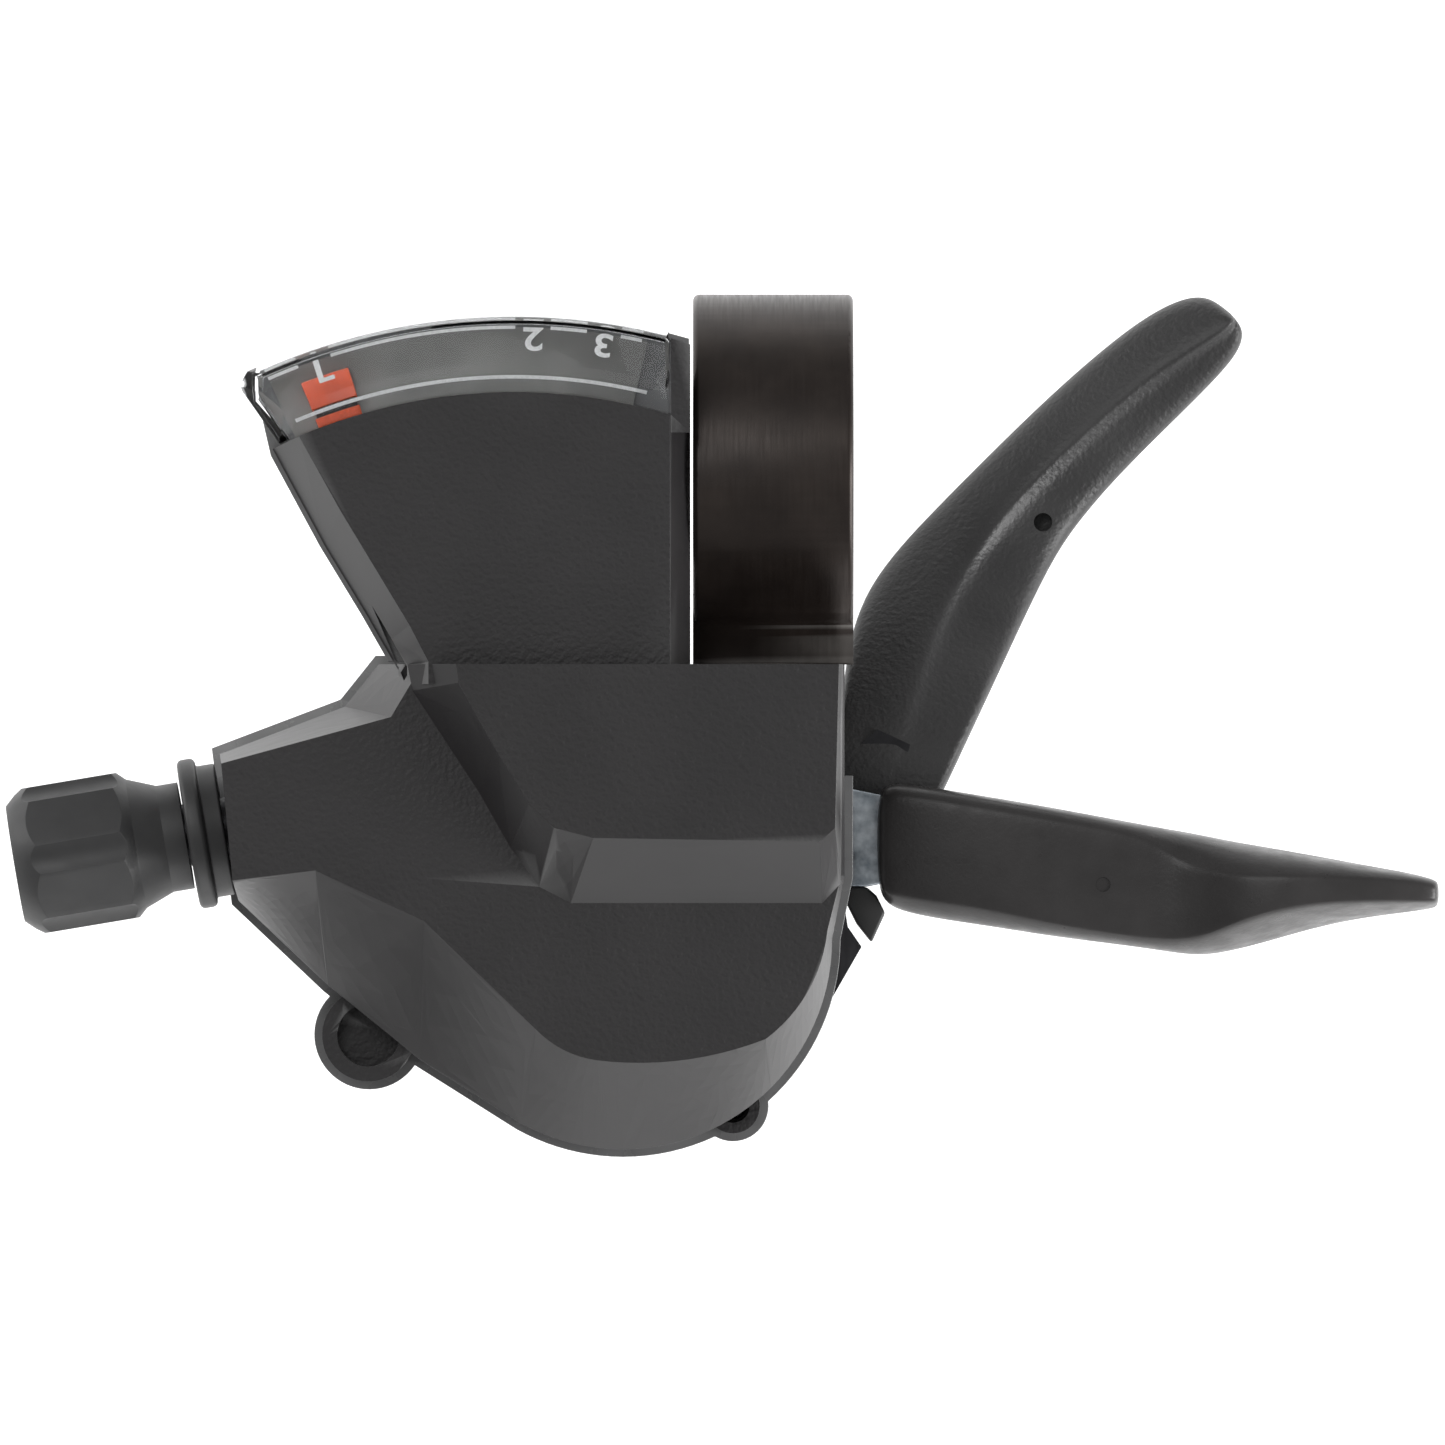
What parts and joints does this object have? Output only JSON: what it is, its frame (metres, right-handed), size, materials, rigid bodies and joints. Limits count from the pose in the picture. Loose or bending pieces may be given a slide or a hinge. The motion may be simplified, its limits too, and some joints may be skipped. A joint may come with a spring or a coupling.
{
  "type": "thumb shifter",
  "caption": "Left-hand bicycle thumb shifter with clamp band, windowed gear display, barrel adjuster, long thumb lever and short release trigger.",
  "frame": {"origin": "centre of the handlebar clamp's bore", "axes": "+X along the handlebar towards its end, +Y to the rider, +Z the side the gear display faces"},
  "size_m": [0.1146, 0.0698, 0.0436],
  "materials": {
    "cover_plastic": "fine-grained matte black moulding",
    "clear_plastic": "clear polished plastic",
    "dial_grey": "dark grey printed dial",
    "digit_print": "light grey print",
    "pointer_orange": "orange",
    "band_black": "satin black anodised metal",
    "steel": "plain steel",
    "black_steel": "blackened steel",
    "zinc_steel": "zinc-plated steel, mottled",
    "spool_plastic": "black nylon",
    "lever_plastic": "grained matte black moulding",
    "trigger_black": "black paint on a casting",
    "adjuster_plastic": "smooth matte black moulding",
    "brass": "plain"
  },
  "bodies": {
    "housing": {"top_cover": "cover_plastic", "pointer_pivot_pin": "steel", "display_tray": "cover_plastic", "display_dial": "dial_grey", "display_window": "clear_plastic", "dial_digits": "digit_print", "clamp_band": "band_black", "clamp_nut": "steel", "clamp_bolt": "black_steel", "lower_cover": "cover_plastic", "base_plate": "black_steel", "cover_screws": "steel", "base_screws": "steel", "bracket_screws": "steel", "bottom_cap": "cover_plastic", "cap_screws": "steel", "main_axle": "steel", "axle_washer": "steel", "axle_nut": "steel", "holding_pawl_pin": "steel", "release_trigger_pin": "steel", "adjuster_nut": "brass", "spool_return_spring": "steel", "thumb_lever_spring": "steel", "release_trigger_spring": "steel"},
    "spool": {"cable_spool": "spool_plastic", "ratchet_wheel": "steel", "pointer_drive_pin": "steel"},
    "pointer": {"pointer_arm": "spool_plastic", "pointer_flag": "pointer_orange"},
    "thumb_lever": {"thumb_lever_plate": "zinc_steel", "thumb_lever_grip": "lever_plastic", "thumb_lever_sleeve": "steel", "pawl_carrier": "steel", "drive_pawl_pin": "steel"},
    "drive_pawl": {"drive_pawl": "steel"},
    "holding_pawl": {"holding_pawl": "steel"},
    "release_trigger": {"release_trigger_plate": "zinc_steel", "release_trigger_grip": "trigger_black", "release_trigger_tab": "spool_plastic"},
    "adjuster_collar": {"adjuster_collar": "adjuster_plastic"},
    "adjuster_knob": {"adjuster_knob": "adjuster_plastic", "adjuster_screw": "black_steel"}
  },
  "joints": [
    {"name": "spool_turn", "type": "hinge", "parent": "housing", "child": "spool", "pos_m": [-0.012, -0.0374, 0], "axis": [0, 0, 1], "range_deg": [-70, 0], "stiffness_Nm_per_rad": 0.02, "springref_deg": 11.46},
    {"name": "pointer_swing", "type": "hinge", "parent": "housing", "child": "pointer", "pos_m": [-0.0206, -0.0374, 0], "axis": [0, 0, 1], "range_deg": [-27, 0]},
    {"name": "thumb_push", "type": "hinge", "parent": "housing", "child": "thumb_lever", "pos_m": [-0.012, -0.0374, 0], "axis": [0, 0, 1], "range_deg": [-38, 0], "stiffness_Nm_per_rad": 0.08, "springref_deg": 14.32},
    {"name": "drive_pawl_tilt", "type": "hinge", "parent": "thumb_lever", "child": "drive_pawl", "pos_m": [-0.02306, -0.04256, 0], "axis": [0, 0, 1], "range_deg": [0, 8], "stiffness_Nm_per_rad": 0.002, "springref_deg": -5.73},
    {"name": "holding_pawl_tilt", "type": "hinge", "parent": "housing", "child": "holding_pawl", "pos_m": [-0.01243, -0.02521, 0], "axis": [0, 0, 1], "range_deg": [-8, 0], "stiffness_Nm_per_rad": 0.002, "springref_deg": 5.73},
    {"name": "release_pull", "type": "hinge", "parent": "housing", "child": "release_trigger", "pos_m": [-0.0062, -0.0262, 0], "axis": [0, 0, 1], "range_deg": [0, 12], "stiffness_Nm_per_rad": 0.08, "springref_deg": -14.32},
    {"name": "adjuster_travel", "type": "slide", "parent": "housing", "child": "adjuster_collar", "axis": [-0.9863, -0.165, 0], "range_m": [0, 0.003]},
    {"name": "adjuster_turn", "type": "hinge", "parent": "adjuster_collar", "child": "adjuster_knob", "pos_m": [-0.05346, -0.03015, 0.0063], "axis": [-0.9863, -0.165, 0], "range_deg": [0, 1080]}
  ],
  "couplings": [
    {"joint": "pointer_swing", "follows": "spool_turn", "ratio": 0.3794},
    {"joint": "adjuster_turn", "follows": "adjuster_travel", "rad_per_m": 6280}
  ]
}
